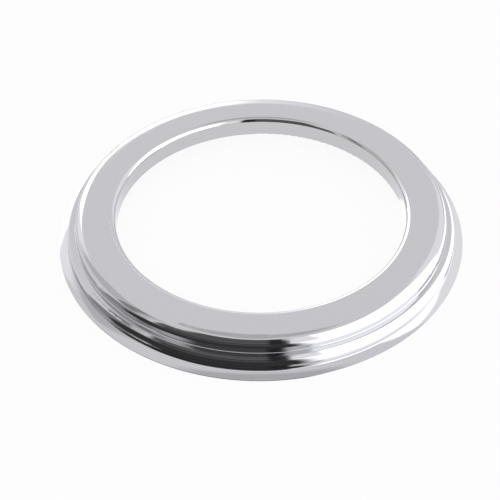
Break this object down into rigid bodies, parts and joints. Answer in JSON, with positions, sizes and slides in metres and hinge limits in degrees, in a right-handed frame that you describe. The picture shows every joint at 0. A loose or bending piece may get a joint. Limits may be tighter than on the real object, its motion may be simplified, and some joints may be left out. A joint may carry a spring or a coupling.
{
  "type": "spout flange",
  "caption": "Stepped chrome ring with a plain round bore and a recessed back; slides over a bath or basin spout and hides the hole in the wall.",
  "frame": {"origin": "bore axis at the plane of the back face", "axes": "+Z along the bore axis, away from the wall that the back face rests on"},
  "size_m": [0.06, 0.06, 0.0052],
  "materials": {
    "chrome_plate": "polished metal with bright chrome plate"
  },
  "bodies": {
    "root": {"flange": "chrome_plate"}
  },
  "joints": []
}
